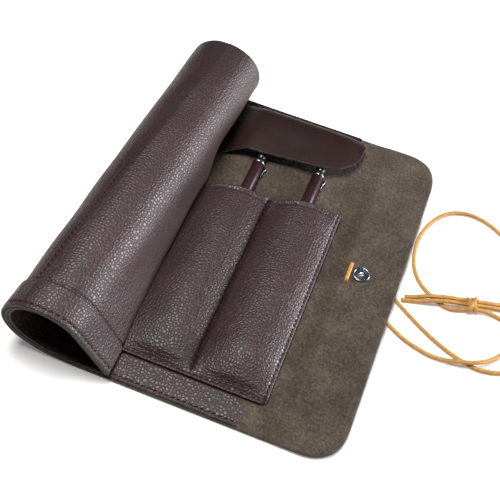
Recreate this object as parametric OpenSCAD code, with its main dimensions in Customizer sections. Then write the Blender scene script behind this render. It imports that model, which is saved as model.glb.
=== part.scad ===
// Wrap-around leather roll for fountain pens, lying open with its left end still rolled over.
// X runs along the roll-out direction, Y along the pens towards the top flap, +Z up.
// The origin is on the ground, in the middle of the leather's outline.

/* [Hide] */
// Width over the leather as it lies, from the rolled end to the closing end
case_w = 166; // [162:1:172]
// Height of the leather along the pens
case_h = 200; // [196:1:210]
// Thickness of the hide
hide_t = 2.2; // [2:0.1:2.4]
// Corner radius of the closing end
corner_r = 20; // [10:1:34]
// Where the closing end folds over
closing_x = 43.5; // [43:0.5:45]
// How far the closing end is lifted by the button under it
closing_lift = 2.6; // [2.6:0.1:3]

/* [Pockets] */
// Width of one pen slot
slot_w = 41; // [40:0.5:41]
// Lower edge of the pocket leather
pocket_y0 = -84.4; // [-84.4:0.2:-84]
// Mouth of the pocket
pocket_y1 = 34; // [20:1:36]
// Thickness of the pocket, flap and strip leather
thin_t = 1.3; // [1.1:0.1:1.4]
// Inner radius of a filled slot's crown
crown_r = 24.5; // [24.4:0.1:24.5]
// How far the crown's centre lies below the hide's inner face
crown_drop = 16.2; // [16.2:0.05:16.3]

/* [Flap and strip] */
// Height of the strip along the lower edge
strip_h = 14.6; // [10:0.2:15]
// Right end of the strip
strip_x1 = 32; // [20:1:38]
// Free edge of the top flap
flap_y0 = 60; // [59:1:64]
// Line where the top flap hinges on its seam
flap_hinge_y = 95; // [94:0.5:95]
// Height of the flap's underside where it lies on the pens
flap_z = 9.9; // [9.8:0.1:11]

/* [Pens] */
// Outer radius of the cap
cap_r = 3.4; // [3.2:0.1:3.4]
// Height of the pens' axis
pen_z = 5.9; // [5.8:0.05:6]
// Place of the right pen
pen_right_x = 19.8; // [19:0.1:21]
// How much further up the right pen stands
pen_right_y = 2; // [0:0.2:2]
// Place of the left pen
pen_left_x = -14.5; // [-16:0.1:-14.5]
// How much further down the left pen stands
pen_left_y = -3.2; // [-4:0.2:0]

/* [Button and lace] */
// Place of the button on the closing end
button_x = 62; // [61:0.5:64]
// Distance of the button from the middle of the case
button_y = 6; // [5:0.5:7]
// Radius of the button's flange
button_r = 4.7; // [4:0.1:5]
// Width of the lace
lace_d = 2.4; // [2.2:0.1:2.4]

/* [Thread] */
// Length of one stitch
stitch_l = 2.2; // [1.6:0.1:2.4]
// Distance from one stitch to the next
stitch_pitch = 3; // [2.8:0.1:3.6]
// Width of the thread
thread_w = 0.7; // [0.4:0.1:0.8]
// Height of the thread above the leather
thread_t = 0.3; // [0.2:0.05:0.3]

/* [Hidden] */
$fn = 72;
half_h = case_h / 2;
right_x = case_w / 2;
gap = 0.3;

// The rolled end is a chain of tangent arcs, one for each of its bodies, then a flat tongue.
// Each arc has an outer radius and a turn.
CURL = [[32, 45], [20.2, 75], [21.8, 80], [21, 55]];
tongue_l = 20;
tongue_turn = turn_before(len(CURL));
fold_x = -right_x + thread_t + CURL[0][0] * sin(45) + CURL[1][0] * (1 - sin(45));

// Turn, place and unrolled length reached before arc i; a heading of 0 points along -X.
function turn_before(i) = i == 0 ? 0 : turn_before(i - 1) + CURL[i - 1][1];
function heading_normal(t) = [sin(t), cos(t)];
function place_before(i) = i == 0 ? [fold_x, 0]
    : place_before(i - 1) + CURL[i - 1][0] * (heading_normal(turn_before(i - 1)) - heading_normal(turn_before(i)));
function length_before(i) = i == 0 ? 0 : length_before(i - 1) + CURL[i - 1][0] * CURL[i - 1][1] * PI / 180;
function degrees_along(i, length) = length / CURL[i][0] * 180 / PI;

// The pocket leather runs over four slots; its left seam comes out on the rolled end.
slots = 4;
pocket_x1 = slot_w;
seam_u = fold_x + (slots - 1) * slot_w;
seam_arc = 2;
seam_turn = degrees_along(seam_arc, seam_u - length_before(seam_arc));

pocket_wall_y = pocket_y0 + 3;
border_w = 3;
band_y1 = half_h - 0.6;
strip_y0 = -half_h + 0.8;
strip_y1 = strip_y0 + strip_h;
strip_r = 8;
flap_x0 = -32;
flap_x1 = 40;
flap_r = 12;
under_x1 = flap_x0 - 0.4;
pen_right = [pen_right_x, pen_right_y];
pen_left = [pen_left_x, pen_left_y];
full_r = 4.2;

// Lace routes, chosen by hand on the ground: short tail, then long tail.
SHORT_ROUTE = [[55.5, 10, 1.3], [59, 12.4, 1.3], [64, 13, 1.3], [69.5, 11, 1.3], [75, 7.2, 1.3],
    [80, 3.4, 1.3], [86, -1, 1.3], [94, -6.2, 1.3], [105, -12.6, 1.3], [115.5, -17.4, 1.3],
    [125.5, -20.6, 1.3], [134, -21.8, 1.3], [145, -19.4, 1.3], [152.5, -14, 1.3], [156.5, -6, 1.3], [157, 3, 1.3], [154, 11, 1.3], [149, 16, 1.3],
    [143, 18.2, 1.3], [136.5, 17.6, 1.6], [130, 15.8, 2.3], [122.5, 13.7, 2.6], [116, 11.8, 3],
    [111, 10.2, 3.8], [106.5, 8.6, 3.9], [102, 7.1, 3.5], [97.5, 5.6, 2.2], [92, 4, 1.4], [86.2, 2.2, 1.3]];
LONG_ROUTE = [[55.5, 0.4, 1.3], [61, -0.8, 1.3], [68, -4.5, 1.3], [76, -9.8, 1.3], [84, -15, 1.3],
    [94.5, -20.4, 1.3], [105.5, -23.4, 1.3], [113, -24, 1.4], [119, -23.5, 2.4], [124, -22.6, 3.8],
    [129, -21.2, 3.9], [134, -18.8, 3.8], [138.5, -15, 2.6], [143, -9.4, 1.4], [146, -3, 1.3],
    [146.6, 3.5, 1.3], [144, 9.4, 1.3], [138.5, 12.2, 1.3], [130, 12.7, 2.2], [122.5, 11.1, 2.6],
    [117, 8.8, 1.8], [112, 7.4, 1.3], [108, 7.8, 1.3], [104, 9.3, 1.3], [99, 12, 1.3], [94, 15.6, 1.3],
    [89.5, 21, 1.3], [86.4, 28, 1.3], [85, 36, 1.3], [85, 45, 1.3], [87, 54, 1.3], [91.5, 63, 1.3],
    [98, 69.6, 1.3], [107, 72.8, 1.3], [117, 71.6, 1.3], [127, 66.9, 1.3], [136, 60, 1.3], [143, 51, 1.3],
    [147, 41, 1.3], [147, 31, 1.3], [143, 24.4, 1.3], [136.5, 20.5, 1.6], [130, 18.3, 2.3],
    [122.5, 16.2, 2.6], [116, 14.3, 3], [110.5, 12.6, 3.8], [105, 10.8, 3.9], [100, 9.1, 3.8],
    [96, 7.8, 2.6], [92, 6.5, 1.5], [87.6, 5, 1.3]];
knot_c = [122.5, 13.7];
knot_l = 7.4;
knot_w = 9;
knot_h = 5.4;
knot_turn = 15;

// A box from its lowest corner to its highest corner.
module box_between(a, b) {
    translate(a)
        cube(b - a);
}

// Extrudes an XZ section along Y, from y0 to y1.
module along_y(y0, y1) {
    translate([0, y1, 0])
        rotate([90, 0, 0])
            linear_extrude(y1 - y0)
                children();
}

// A rectangle whose two right-hand corners are round; low and high say which ones are.
module round_right(x0, x1, y0, y1, r, low = true, high = true) {
    difference() {
        translate([x0, y0])
            square([x1 - x0, y1 - y0]);
        if (high)
            translate([x1 - r, y1 - r])
                difference() {
                    square(r + 1);
                    circle(r);
                }
        if (low)
            translate([x1 - r, y0 - 1])
                difference() {
                    square([r + 1, r + 1]);
                    translate([0, r + 1])
                        circle(r);
                }
    }
}

// Part of arc i as a shell: inset is its depth below the hide's outer face, t its thickness.
module arc_shell(i, inset, t, y0, y1, t0 = 0, t1 = -1) {
    r = CURL[i][0];
    start = turn_before(i) + t0;
    end = turn_before(i) + (t1 < 0 ? CURL[i][1] : t1);
    c = place_before(i) + r * heading_normal(turn_before(i));
    translate([c[0], 0, c[1]])
        rotate([90, 0, 0])
            rotate([0, 0, -90 - end])
                rotate_extrude(angle = end - start)
                    translate([r - inset - t, -y1])
                        square([t, y1 - y0]);
}

// A flat piece along the tongue, from s0 to s1 along it.
module tongue_shell(inset, t, y0, y1, s0 = 0, s1 = tongue_l) {
    p = place_before(len(CURL));
    translate([p[0], 0, p[1]])
        rotate([0, tongue_turn - 180, 0])
            translate([s0, y0, -inset - t])
                cube([s1 - s0, y1 - y0, t]);
}

// One layer of the rolled end that belongs to one of its bodies.
module fold_layer(body, inset, t, y0, y1) {
    arc_shell(body - 1, inset, t, y0, y1, degrees_along(body - 1, gap));
    if (body == len(CURL))
        tongue_shell(inset, t, y0, y1);
}

module hide_base() {
    color("#3b2a2b")
        box_between([fold_x, -half_h, 0], [closing_x - gap / 2, half_h, hide_t]);
}

// The closing end steps up over the button's head and has round corners.
module hide_closing_end() {
    x0 = closing_x + gap / 2;
    xa = x0 + 3;
    xb = xa + 8;
    color("#6b6055")
        difference() {
            intersection() {
                along_y(-half_h, half_h)
                    polygon([[x0, 0], [xa, 0], [xb, closing_lift], [right_x, closing_lift],
                        [right_x, closing_lift + hide_t], [xb, closing_lift + hide_t], [xa, hide_t], [x0, hide_t]]);
                translate([0, 0, -1])
                    linear_extrude(hide_t + closing_lift + 2)
                        round_right(x0 - 1, right_x, -half_h, half_h, corner_r);
            }
            translate([button_x, button_y, 0])
                cylinder(r = 1.6, h = 10);
            for (y = [0, 10])
                box_between([54.2, y - 1.3, 0], [56.8, y + 1.3, 10]);
        }
}

module hide_fold(body) {
    color("#3b2a2b")
        fold_layer(body, 0, hide_t, -half_h, half_h);
}

// A slot filled by a pen: a crown over the pen, flat borders, and a closed lower end.
module filled_slot(x0) {
    xm = x0 + slot_w / 2;
    color("#4a3234") {
        along_y(pocket_wall_y, pocket_y1)
            translate([xm, hide_t])
                intersection() {
                    union() {
                        difference() {
                            translate([0, -crown_drop])
                                circle(crown_r + thin_t);
                            translate([0, -crown_drop])
                                circle(crown_r);
                        }
                        for (s = [-1, 1])
                            translate([s * (slot_w - border_w) / 2, thin_t / 2])
                                square([border_w, thin_t], center = true);
                    }
                    translate([-slot_w / 2, 0])
                        square([slot_w, 20]);
                }
        along_y(pocket_wall_y, pocket_wall_y + thin_t)
            translate([xm, hide_t])
                intersection() {
                    translate([0, -crown_drop])
                        circle(crown_r + thin_t / 2);
                    translate([-slot_w / 2, 0])
                        square([slot_w, 20]);
                }
        box_between([x0, pocket_y0, hide_t], [x0 + slot_w, pocket_wall_y + thin_t, hide_t + thin_t]);
    }
}

// The empty slots lie flat on the hide.
module pocket_slot_3() {
    color("#4a3234")
        box_between([fold_x, pocket_y0, hide_t], [-slot_w, pocket_y1, hide_t + thin_t]);
}

// Layers of thin leather on the rolled end that stop at the pocket's left seam.
module seamed_layer(body, y0, y1) {
    if (body - 1 < seam_arc)
        fold_layer(body, hide_t, thin_t, y0, y1);
    if (body - 1 == seam_arc)
        arc_shell(seam_arc, hide_t, thin_t, y0, y1, degrees_along(seam_arc, gap), seam_turn);
}

module pocket_fold(body) {
    color("#4a3234")
        seamed_layer(body, pocket_y0, pocket_y1);
}

module strip_base() {
    color("#5a4547")
        translate([0, 0, hide_t])
            linear_extrude(thin_t)
                round_right(fold_x, strip_x1, strip_y0, strip_y1, strip_r, low = false);
}

module strip_fold(body) {
    color("#5a4547")
        fold_layer(body, hide_t, thin_t, strip_y0, strip_y1);
}

// The sewn edge of the top flap, with the part of the flap held under the rolled end.
module flap_band() {
    color("#33282a")
        translate([0, 0, hide_t])
            linear_extrude(thin_t) {
                translate([fold_x, flap_hinge_y + gap / 2])
                    square([flap_x1 - fold_x, band_y1 - flap_hinge_y - gap / 2]);
                translate([fold_x, flap_y0])
                    square([under_x1 - fold_x, band_y1 - flap_y0]);
            }
}

// The flap rises from its seam and lies level over the pens' ends.
module top_flap() {
    yb = flap_hinge_y - 12;
    ya = flap_hinge_y - gap / 2;
    color("#3a2e2f")
        intersection() {
            translate([flap_x0, 0, 0])
                rotate([90, 0, 90])
                    linear_extrude(flap_x1 - flap_x0)
                        polygon([[flap_y0, flap_z], [yb, flap_z], [ya - 1, hide_t + gap], [ya, hide_t + gap],
                            [ya, hide_t + gap + thin_t], [yb + 1, flap_z + thin_t], [flap_y0, flap_z + thin_t]]);
            linear_extrude(40)
                round_right(flap_x0 - 1, flap_x1, flap_y0, flap_hinge_y + 1, flap_r, high = false);
        }
}

module flap_fold(body) {
    color("#33282a")
        seamed_layer(body, flap_y0, band_y1);
}

// Stitches in a straight row from a to b; each one is a separate solid.
module stitch_row(a, b) {
    span = norm(b - a);
    n = floor(span / stitch_pitch);
    turn = atan2(b[1] - a[1], b[0] - a[0]);
    for (i = [0 : n - 1])
        translate([a[0], a[1], a[2]])
            rotate([0, 0, turn])
                translate([i * stitch_pitch + (span - (n - 1) * stitch_pitch - stitch_l) / 2, -thread_w / 2, 0])
                    cube([stitch_l, thread_w, thread_t]);
}

thread_top = hide_t + thin_t;
edge_row_y = strip_y0 + 2;

module thread_strip() {
    color("#2a1d1e")
        stitch_row([fold_x + 1, edge_row_y, thread_top], [strip_x1 - 1, edge_row_y, thread_top]);
}

module thread_flap() {
    y = (flap_hinge_y + band_y1) / 2;
    color("#2a1d1e")
        stitch_row([fold_x + 1, y, thread_top], [flap_x1 - 1, y, thread_top]);
}

module thread_pocket_side() {
    x = pocket_x1 - thread_w;
    color("#2a1d1e")
        stitch_row([x, pocket_y0 + 1, thread_top], [x, pocket_y1 - 1, thread_top]);
}

module thread_pocket_bottom() {
    y = pocket_y0 + 1.4;
    color("#2a1d1e")
        stitch_row([fold_x + 1, y, thread_top], [pocket_x1 - 2, y, thread_top]);
}

// A divider's stitches sit on the border between two slots.
module thread_divider(x) {
    color("#2a1d1e")
        stitch_row([x, pocket_y0 + 3, thread_top], [x, pocket_y1 - 1, thread_top]);
}

// Stitches of the rolled end: the edge row round each arc, and the pocket's left seam.
// The first two of the edge row would be under the ground.
module thread_fold(body) {
    i = body - 1;
    y = edge_row_y - thread_w / 2;
    step = degrees_along(i, stitch_pitch);
    long = degrees_along(i, stitch_l);
    color("#2a1d1e") {
        for (k = [(i == 0 ? 2 : 0) : floor(CURL[i][1] / step) - 1])
            arc_shell(i, -thread_t, thread_t, y, y + thread_w, k * step + 1, k * step + 1 + long);
        if (i == seam_arc) {
            half = degrees_along(i, thread_w / 2);
            mid = seam_turn - 3;
            for (k = [0 : floor((pocket_y1 - pocket_y0 - 2) / stitch_pitch) - 1]) {
                ys = pocket_y0 + 1 + k * stitch_pitch;
                arc_shell(i, -thread_t, thread_t, ys, ys + stitch_l, mid - half, mid + half);
            }
        }
        if (body == len(CURL))
            for (k = [0 : floor(tongue_l / stitch_pitch) - 1])
                tongue_shell(-thread_t, thread_t, y, y + thread_w,
                    k * stitch_pitch + 0.6, k * stitch_pitch + 0.6 + stitch_l);
    }
}

// The button's inner flange: a raised ring round a shallow dish.
module button_flange() {
    z0 = closing_lift + hide_t;
    color("#9aa0a6")
        translate([button_x, button_y, z0])
            rotate_extrude()
                polygon([[1.65, 0], [button_r, 0], [button_r, 0.6], [button_r - 0.3, 1.1], [button_r - 0.8, 1.1],
                    [button_r - 1.2, 0.5], [1.65, 0.4]]);
}

// The tubular post comes up through the hide and is rolled over in the dish.
module button_post() {
    z0 = closing_lift + hide_t;
    color("#c8ccd0")
        translate([button_x, button_y, 0])
            rotate_extrude()
                polygon([[0.7, 2.4], [1.5, 2.4], [1.5, z0 + 0.5], [2, z0 + 0.7], [1.9, z0 + 1.2], [1, z0 + 1.2],
                    [0.7, z0 + 0.6]]);
}

// The button's head on the outer face; the closing end rests on it.
module button_head() {
    color("#9aa0a6")
        translate([button_x, button_y, 0])
            rotate_extrude()
                polygon([[0, 0], [2.6, 0], [4.4, 0.6], [5.2, 1.5], [5.2, 2], [4.8, 2.4], [1.6, 2.4], [1.6, closing_lift],
                    [1.55, closing_lift], [1.55, 2.35], [0, 2.35]]);
}

// The short run of lace between its two slits.
module lace_keeper() {
    z0 = closing_lift + hide_t;
    half = lace_d / 2;
    color("#cf9a55") {
        box_between([55.5 - half, -half, z0], [55.5 + half, 10 + half, z0 + lace_d]);
        for (y = [0, 10])
            box_between([55.5 - half, y - half, closing_lift], [55.5 + half, y + half, z0 + 1]);
    }
}

// A tube along a list of points, with one eight-sided ring at each point.
sides = 8;
function along(route, i) = let (a = route[max(i - 1, 0)], b = route[min(i + 1, len(route) - 1)]) (b - a) / norm(b - a);
function side_of(d) = let (s = cross([0, 0, 1], d)) s / norm(s);
function ring(route, i, r) = let (d = along(route, i), s = side_of(d), u = cross(d, s))
    [for (k = [0 : sides - 1]) route[i] + r * (cos(k * 360 / sides) * s + sin(k * 360 / sides) * u)];

module lace_tube(route, r) {
    n = len(route);
    points = [for (i = [0 : n - 1]) each ring(route, i, r)];
    walls = [for (i = [0 : n - 2]) for (k = [0 : sides - 1])
        let (k1 = (k + 1) % sides)
            [i * sides + k, (i + 1) * sides + k, (i + 1) * sides + k1, i * sides + k1]];
    caps = [[for (k = [0 : sides - 1]) k], [for (k = [0 : sides - 1]) n * sides - 1 - k]];
    color("#cf9a55")
        polyhedron(points, concat(walls, caps));
}

module lace_knot() {
    color("#cf9a55")
        translate([knot_c[0], knot_c[1], 0])
            rotate([0, 0, knot_turn])
                translate([-knot_l / 2, 0, 0])
                    rotate([90, 0, 90])
                        linear_extrude(knot_l)
                            intersection() {
                                translate([-knot_w / 2, 0])
                                    square([knot_w, knot_h]);
                                translate([0, -3])
                                    circle(8.6);
                            }
}

// Everything on a pen is drawn upright with a cap of full_r, made as thin as cap_r asks, and laid along +Y.
module lay_pen(place) {
    translate([place[0], place[1], pen_z])
        rotate([-90, 0, 0])
            scale([cap_r / full_r, cap_r / full_r, 1])
                children();
}

module pen_cap(place) {
    color("#4b1f28")
        lay_pen(place)
            rotate_extrude()
                polygon([[3.5, -6], [full_r, -6], [full_r, 55.6], [0, 55.6], [0, 53], [3, 53], [3.5, 52]]);
}

// A ring on the cap's top, with a lug on its right side and a short clip below the lug.
module pen_clip(place) {
    color("#c9cdd2")
        lay_pen(place) {
            translate([0, 0, 55.6])
                cylinder(r = 4.5, h = 1.4);
            rotate([0, 0, -25]) {
                box_between([3.6, -0.9, 55.7], [7.4, 0.9, 56.9]);
                box_between([full_r + 0.6, -0.9, 37], [full_r + 1.5, 0.9, 55.8]);
            }
        }
}

module pen_finial(place) {
    color("#17131a")
        lay_pen(place)
            rotate_extrude()
                polygon([[0, 57], [3.9, 57], [3.9, 59], [3.6, 62], [2.8, 64.6], [1.4, 65.8], [0, 66]]);
}

module pen_barrel(place) {
    color("#4b1f28")
        lay_pen(place)
            rotate_extrude()
                polygon([[0, -70], [1.8, -69.8], [3, -68.6], [3.6, -66], [4, -52], [4.1, -6.2], [3.4, -6.2],
                    [3.4, -2], [3.05, -2], [3.05, -61], [2, -65], [0, -65]]);
}

module pen_section(place) {
    color("#17131a")
        lay_pen(place)
            rotate_extrude()
                polygon([[2.3, -8], [3, -8], [3, -1.9], [3.4, -1.9], [3.2, 4], [2.7, 14], [3, 17], [2.2, 17]]);
}

// A thin pointed blade, bent no more than a flat plate would be.
module pen_nib(place) {
    color("#d8b65c")
        lay_pen(place)
            translate([0, -0.2, 0])
                rotate([90, 0, 0])
                    linear_extrude(0.5)
                        polygon([[-1.9, 12], [1.9, 12], [2.1, 22], [1.7, 26], [0.3, 34], [-0.3, 34], [-1.7, 26], [-2.1, 22]]);
}

module pen_feed(place) {
    color("#17131a")
        lay_pen(place)
            intersection() {
                union() {
                    translate([0, 0, 11])
                        cylinder(r = 2.1, h = 12);
                    translate([0, 0, 23])
                        cylinder(r1 = 2.1, r2 = 0.7, h = 8);
                }
                box_between([-3, -0.2, 0], [3, 3, 40]);
            }
}

module pen_cartridge(place) {
    color("#2b3f74")
        lay_pen(place)
            rotate_extrude()
                polygon([[0, -46], [2.4, -46], [2.4, -12], [1.6, -9], [1.6, 9], [0, 9]]);
}

hide_base();
hide_closing_end();
hide_fold(1);  // hide_fold_1
hide_fold(2);  // hide_fold_2
hide_fold(3);  // hide_fold_3
hide_fold(4);  // hide_fold_4
filled_slot(0);  // pocket_slot_1
filled_slot(-slot_w);  // pocket_slot_2
pocket_slot_3();
pocket_fold(1);  // pocket_fold_1
pocket_fold(2);  // pocket_fold_2
pocket_fold(3);  // pocket_fold_3
strip_base();
strip_fold(1);  // strip_fold_1
strip_fold(2);  // strip_fold_2
strip_fold(3);  // strip_fold_3
strip_fold(4);  // strip_fold_4
flap_band();
top_flap();
flap_fold(1);  // flap_fold_1
flap_fold(2);  // flap_fold_2
flap_fold(3);  // flap_fold_3
thread_strip();
thread_flap();
thread_pocket_side();
thread_pocket_bottom();
thread_divider(0);  // thread_divider_1
thread_divider(-slot_w);  // thread_divider_2
thread_fold(1);  // thread_fold_1
thread_fold(2);  // thread_fold_2
thread_fold(3);  // thread_fold_3
thread_fold(4);  // thread_fold_4
button_flange();
button_post();
button_head();
lace_keeper();
lace_tube(SHORT_ROUTE, lace_d / 2);  // lace_tail_short
lace_tube(LONG_ROUTE, lace_d / 2);  // lace_tail_long
lace_knot();
pen_cap(pen_right);  // pen_right_cap
pen_clip(pen_right);  // pen_right_clip
pen_finial(pen_right);  // pen_right_finial
pen_barrel(pen_right);  // pen_right_barrel
pen_section(pen_right);  // pen_right_section
pen_nib(pen_right);  // pen_right_nib
pen_feed(pen_right);  // pen_right_feed
pen_cartridge(pen_right);  // pen_right_cartridge
pen_cap(pen_left);  // pen_left_cap
pen_clip(pen_left);  // pen_left_clip
pen_finial(pen_left);  // pen_left_finial
pen_barrel(pen_left);  // pen_left_barrel
pen_section(pen_left);  // pen_left_section
pen_nib(pen_left);  // pen_left_nib
pen_feed(pen_left);  // pen_left_feed
pen_cartridge(pen_left);  // pen_left_cartridge
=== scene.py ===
"""The looks of a wrap-around leather pen roll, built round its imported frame.

Lengths inside the shape functions are in millimetres; put_mesh() turns them to metres.
"""

import math

import bmesh
import bpy
import numpy as np
from mathutils import Matrix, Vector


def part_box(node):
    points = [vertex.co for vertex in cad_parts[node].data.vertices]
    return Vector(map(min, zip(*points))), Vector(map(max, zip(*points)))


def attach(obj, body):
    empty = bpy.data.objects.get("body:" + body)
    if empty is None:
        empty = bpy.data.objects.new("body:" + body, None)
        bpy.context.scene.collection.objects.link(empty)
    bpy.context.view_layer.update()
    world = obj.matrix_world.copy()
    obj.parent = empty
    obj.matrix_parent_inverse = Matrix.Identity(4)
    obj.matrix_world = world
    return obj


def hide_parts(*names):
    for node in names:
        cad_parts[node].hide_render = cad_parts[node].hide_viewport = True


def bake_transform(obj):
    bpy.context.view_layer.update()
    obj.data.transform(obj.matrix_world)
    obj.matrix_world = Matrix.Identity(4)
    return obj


bl_info = {
    "name": "Leather Pen Roll",
    "version": (1, 0, 0),
    "blender": (4, 5, 0),
    "location": "View3D > Sidebar > Pen Roll",
    "description": "Builds a leather pen roll with its pens, button and lace tie round a packed frame",
    "category": "Object",
}

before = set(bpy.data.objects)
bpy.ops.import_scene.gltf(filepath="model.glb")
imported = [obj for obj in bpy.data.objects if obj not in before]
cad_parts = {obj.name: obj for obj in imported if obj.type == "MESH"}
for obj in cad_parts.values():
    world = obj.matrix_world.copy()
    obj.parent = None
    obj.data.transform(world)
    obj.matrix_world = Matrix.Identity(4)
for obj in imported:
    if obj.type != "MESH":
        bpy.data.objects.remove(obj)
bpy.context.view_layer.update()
MM = 0.001


def hex_colour(text):
    """Linear RGBA of an sRGB hex value."""
    srgb = [int(text[i : i + 2], 16) / 255 for i in (1, 3, 5)]
    return (*[c / 12.92 if c <= 0.04045 else ((c + 0.055) / 1.055) ** 2.4 for c in srgb], 1.0)


def box_mm(name):
    """Lowest and highest corner of a CAD node, in millimetres."""
    low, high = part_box(name)
    return np.array(low) / MM, np.array(high) / MM


# ---------------------------------------------------------------- places taken from the frame
HIDE_LOW, HIDE_HIGH = box_mm("hide_base")
CLOSING_LOW, CLOSING_HIGH = box_mm("hide_closing_end")
STRIP_LOW, STRIP_HIGH = box_mm("strip_base")
SLOT_LOW, SLOT_HIGH = box_mm("pocket_slot_1")
FOLD_X, HALF_H, HIDE_T = HIDE_LOW[0], HIDE_HIGH[1], HIDE_HIGH[2]
CLOSING_X, RIGHT_X = CLOSING_LOW[0] - 0.15, CLOSING_HIGH[0]
LIFT, THIN_T = CLOSING_HIGH[2] - HIDE_T, STRIP_HIGH[2] - HIDE_T
STRIP_Y0, STRIP_Y1, STRIP_X1 = STRIP_LOW[1], STRIP_HIGH[1], STRIP_HIGH[0]
POCKET_Y0, POCKET_Y1, POCKET_X1, CROWN_TOP = SLOT_LOW[1], SLOT_HIGH[1], SLOT_HIGH[0], SLOT_HIGH[2]
BAND_Y1 = box_mm("flap_band")[1][1]
BUTTON_C = (box_mm("button_head")[0] + box_mm("button_head")[1]) / 2
BUTTON_R = (box_mm("button_flange")[1][0] - box_mm("button_flange")[0][0]) / 2
BUTTON_Z = box_mm("button_flange")[0][2]
KEEPER = box_mm("lace_keeper")
KNOT_C = (box_mm("lace_knot")[0] + box_mm("lace_knot")[1]) / 2

# Distances of the first rows of points from a cut edge, which is rounded off there.
NEAR_EDGE = np.array([0, 0.1, 0.3, 0.6, 1.0])
# A face that isn't cut is this far, or further, from its nearest cut edge.
NO_EDGE = 9
# Sheets lie this far above the hide.
ON_HIDE = HIDE_T + 0.03
# Sewing rows, measured in from the pocket's side edge and lower edge, and the strip's row along the hide.
SIDE_ROW, FOOT_ROW = 1.9, 2.3
EDGE_ROW_Y = STRIP_Y0 + 2

# The lace's routes on the ground, the same points as the frame's two tubes.
SHORT_ROUTE = [[55.5, 10, 1.3], [59, 12.4, 1.3], [64, 13, 1.3], [69.5, 11, 1.3], [75, 7.2, 1.3],
    [80, 3.4, 1.3], [86, -1, 1.3], [94, -6.2, 1.3], [105, -12.6, 1.3], [115.5, -17.4, 1.3],
    [125.5, -20.6, 1.3], [134, -21.8, 1.3], [145, -19.4, 1.3], [152.5, -14, 1.3], [156.5, -6, 1.3],
    [157, 3, 1.3], [154, 11, 1.3], [149, 16, 1.3], [143, 18.2, 1.3], [136.5, 17.6, 1.6],
    [130, 15.8, 2.3], [122.5, 13.7, 2.6], [116, 11.8, 3], [111, 10.2, 3.8], [106.5, 8.6, 3.9],
    [102, 7.1, 3.5], [97.5, 5.6, 2.2], [92, 4, 1.4], [86.2, 2.2, 1.3]]
LONG_ROUTE = [[55.5, 0.4, 1.3], [61, -0.8, 1.3], [68, -4.5, 1.3], [76, -9.8, 1.3], [84, -15, 1.3],
    [94.5, -20.4, 1.3], [105.5, -23.4, 1.3], [113, -24, 1.4], [119, -23.5, 2.4], [124, -22.6, 3.8],
    [129, -21.2, 3.9], [134, -18.8, 3.8], [138.5, -15, 2.6], [143, -9.4, 1.4], [146, -3, 1.3],
    [146.6, 3.5, 1.3], [144, 9.4, 1.3], [138.5, 12.2, 1.3], [130, 12.7, 2.2], [122.5, 11.1, 2.6],
    [117, 8.8, 1.8], [112, 7.4, 1.3], [108, 7.8, 1.3], [104, 9.3, 1.3], [99, 12, 1.3], [94, 15.6, 1.3],
    [89.5, 21, 1.3], [86.4, 28, 1.3], [85, 36, 1.3], [85, 45, 1.3], [87, 54, 1.3], [91.5, 63, 1.3],
    [98, 69.6, 1.3], [107, 72.8, 1.3], [117, 71.6, 1.3], [127, 66.9, 1.3], [136, 60, 1.3], [143, 51, 1.3],
    [147, 41, 1.3], [147, 31, 1.3], [143, 24.4, 1.3], [136.5, 20.5, 1.6], [130, 18.3, 2.3],
    [122.5, 16.2, 2.6], [116, 14.3, 3], [110.5, 12.6, 3.8], [105, 10.8, 3.9], [100, 9.1, 3.8],
    [96, 7.8, 2.6], [92, 6.5, 1.5], [87.6, 5, 1.3]]


# ---------------------------------------------------------------- user settings
def length(name, description, default, low, high):
    return bpy.props.FloatProperty(name=name, description=f"{description} (mm)", default=default, min=low,
        max=high)


def dye(name, description, default):
    return bpy.props.FloatVectorProperty(name=name, description=description, subtype="COLOR", size=4,
        default=hex_colour(default), min=0, max=1)


class PenRollSizes(bpy.types.PropertyGroup):
    """Sizes of the leather's finish, in millimetres."""

    pebble: length("Pebble", "Width of one pebble of the grain", 1.7, 0.5, 4)
    stitch_pitch: length("Stitch pitch", "Distance from one stitch to the next", 3, 2, 6)
    stitch_length: length("Stitch length", "Visible length of one stitch", 2.3, 1, 4)
    thread: length("Thread", "Thickness of the thread", 0.52, 0.3, 1)
    lace: length("Lace", "Width of the lace", 2.15, 1.5, 3)


class PenRollColours(bpy.types.PropertyGroup):
    """Colours that a maker would choose."""

    grain: dye("Grain", "Dyed pebbled leather", "#301515")
    suede: dye("Suede", "Flesh side of the hide", "#4d4339")
    flap: dye("Flap", "Smooth flap leather", "#24120f")
    lace: dye("Lace", "Greased tan lace", "#bb8c4a")
    pen: dye("Pen", "Lacquered pen bodies", "#2b1317")


def sizes():
    return bpy.context.scene.pen_roll_sizes


def colours():
    return bpy.context.scene.pen_roll_colours


# ---------------------------------------------------------------- meshes
def put_mesh(name, points, faces, materials, face_material=None):
    """A smooth-shaded mesh object from points in millimetres and faces."""
    mesh = bpy.data.meshes.new(name)
    faces = faces.tolist() if isinstance(faces, np.ndarray) else faces
    mesh.from_pydata((np.asarray(points).reshape(-1, 3) * MM).tolist(), [], faces)
    for material in materials:
        mesh.materials.append(material)
    if face_material is not None:
        mesh.polygons.foreach_set("material_index", np.asarray(face_material, np.int32))
    mesh.polygons.foreach_set("use_smooth", np.ones(len(mesh.polygons), bool))
    mesh.update()
    piece = bpy.data.objects.new(name, mesh)
    bpy.context.scene.collection.objects.link(piece)
    return piece


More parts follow.
